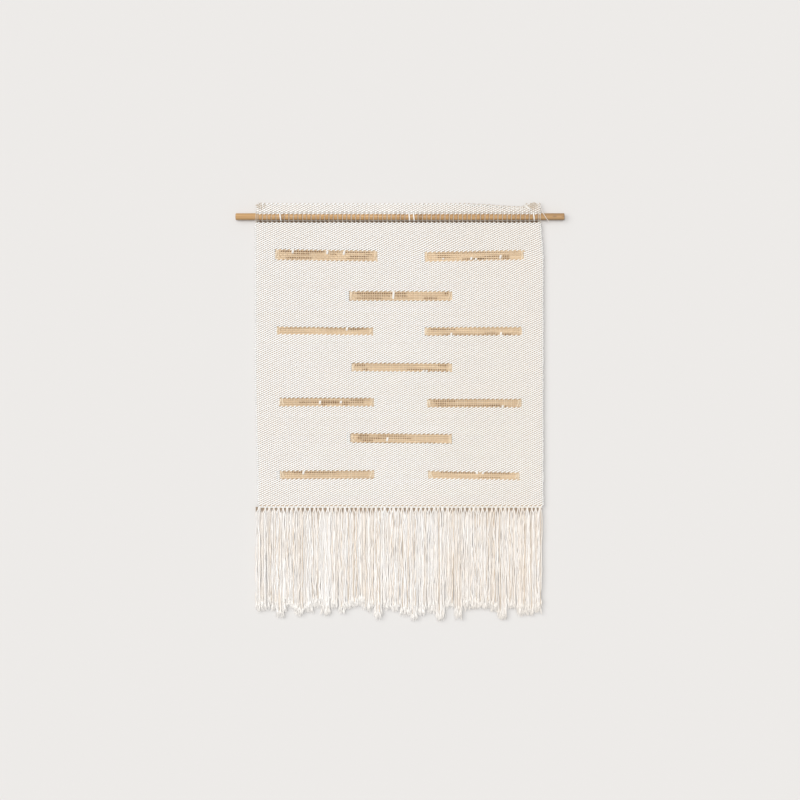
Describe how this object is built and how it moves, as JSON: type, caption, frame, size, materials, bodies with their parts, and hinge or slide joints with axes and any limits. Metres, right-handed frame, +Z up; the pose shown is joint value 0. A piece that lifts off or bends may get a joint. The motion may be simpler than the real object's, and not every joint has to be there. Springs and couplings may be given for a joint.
{
  "type": "tapestry wall hanging",
  "caption": "Ivory woven cotton wall hanging with staggered straw inlay bars and a long knotted fringe, carried on a bamboo-coloured rod that runs through its warps.",
  "frame": {"origin": "middle of the rod's axis, the line the hanging is held by", "axes": "+Z up, -Y the front of the cloth, +X to the right of someone facing it, along the rod"},
  "size_m": [0.6096, 0.0168, 0.7689],
  "materials": {
    "rod_wood": "satin, straight grain with darker growth bands",
    "cotton_weft": "matt hand-woven cotton, weft-faced",
    "cotton_warp": "matt twisted cotton thread",
    "cotton_twining": "matt twined cotton cord",
    "straw": "dry split straw, faint sheen along the fibre",
    "cotton_fringe": "matt plied cotton cord with frayed ends"
  },
  "bodies": {
    "rod": {"rod": "rod_wood"},
    "heading": {"heading_band": "cotton_weft", "front_warps": "cotton_warp", "rear_warps": "cotton_warp", "doubled_warp_1": "cotton_warp", "doubled_warp_2": "cotton_warp", "doubled_warp_3": "cotton_warp", "doubled_warp_4": "cotton_warp", "loose_thread": "cotton_warp"},
    "panel": {"woven_panel": "cotton_weft", "inlay_row1_left": "straw", "inlay_row1_right": "straw", "inlay_row2_centre": "straw", "inlay_row3_left": "straw", "inlay_row3_right": "straw", "inlay_row4_centre": "straw", "inlay_row5_left": "straw", "inlay_row5_right": "straw", "inlay_row6_centre": "straw", "inlay_row7_left": "straw", "inlay_row7_right": "straw", "selvedge_left": "cotton_weft", "selvedge_right": "cotton_weft", "twined_row": "cotton_twining"},
    "fringe_1": {"tassel_01": "cotton_fringe", "tassel_02": "cotton_fringe", "tassel_03": "cotton_fringe", "tassel_04": "cotton_fringe"},
    "fringe_2": {"tassel_05": "cotton_fringe", "tassel_06": "cotton_fringe", "tassel_07": "cotton_fringe", "tassel_08": "cotton_fringe"},
    "fringe_3": {"tassel_09": "cotton_fringe", "tassel_10": "cotton_fringe", "tassel_11": "cotton_fringe", "tassel_12": "cotton_fringe"},
    "fringe_4": {"tassel_13": "cotton_fringe", "tassel_14": "cotton_fringe", "tassel_15": "cotton_fringe", "tassel_16": "cotton_fringe"},
    "fringe_5": {"tassel_17": "cotton_fringe", "tassel_18": "cotton_fringe", "tassel_19": "cotton_fringe", "tassel_20": "cotton_fringe"},
    "fringe_6": {"tassel_21": "cotton_fringe", "tassel_22": "cotton_fringe", "tassel_23": "cotton_fringe", "tassel_24": "cotton_fringe"},
    "fringe_7": {"tassel_25": "cotton_fringe", "tassel_26": "cotton_fringe", "tassel_27": "cotton_fringe", "tassel_28": "cotton_fringe"},
    "fringe_8": {"tassel_29": "cotton_fringe", "tassel_30": "cotton_fringe", "tassel_31": "cotton_fringe", "tassel_32": "cotton_fringe"}
  },
  "joints": [
    {"name": "heading_slide", "type": "slide", "parent": "rod", "child": "heading", "axis": [1, 0, 0], "range_m": [-0.0375, 0.0445]},
    {"name": "panel_swing", "type": "hinge", "parent": "heading", "child": "panel", "pos_m": [-0.0035, 0, -0.0109], "axis": [-1, 0, 0], "range_deg": [0, 60]},
    {"name": "fringe_1_swing", "type": "hinge", "parent": "panel", "child": "fringe_1", "pos_m": [-0.2295, 0, -0.5428], "axis": [-1, 0, 0], "range_deg": [0, 60]},
    {"name": "fringe_2_swing", "type": "hinge", "parent": "panel", "child": "fringe_2", "pos_m": [-0.164, 0, -0.5428], "axis": [-1, 0, 0], "range_deg": [0, 60]},
    {"name": "fringe_3_swing", "type": "hinge", "parent": "panel", "child": "fringe_3", "pos_m": [-0.0985, 0, -0.5428], "axis": [-1, 0, 0], "range_deg": [0, 60]},
    {"name": "fringe_4_swing", "type": "hinge", "parent": "panel", "child": "fringe_4", "pos_m": [-0.033, 0, -0.5428], "axis": [-1, 0, 0], "range_deg": [0, 60]},
    {"name": "fringe_5_swing", "type": "hinge", "parent": "panel", "child": "fringe_5", "pos_m": [0.0325, 0, -0.5428], "axis": [-1, 0, 0], "range_deg": [0, 60]},
    {"name": "fringe_6_swing", "type": "hinge", "parent": "panel", "child": "fringe_6", "pos_m": [0.098, 0, -0.5428], "axis": [-1, 0, 0], "range_deg": [0, 60]},
    {"name": "fringe_7_swing", "type": "hinge", "parent": "panel", "child": "fringe_7", "pos_m": [0.1635, 0, -0.5428], "axis": [-1, 0, 0], "range_deg": [0, 60]},
    {"name": "fringe_8_swing", "type": "hinge", "parent": "panel", "child": "fringe_8", "pos_m": [0.229, 0, -0.5428], "axis": [-1, 0, 0], "range_deg": [0, 60]}
  ]
}
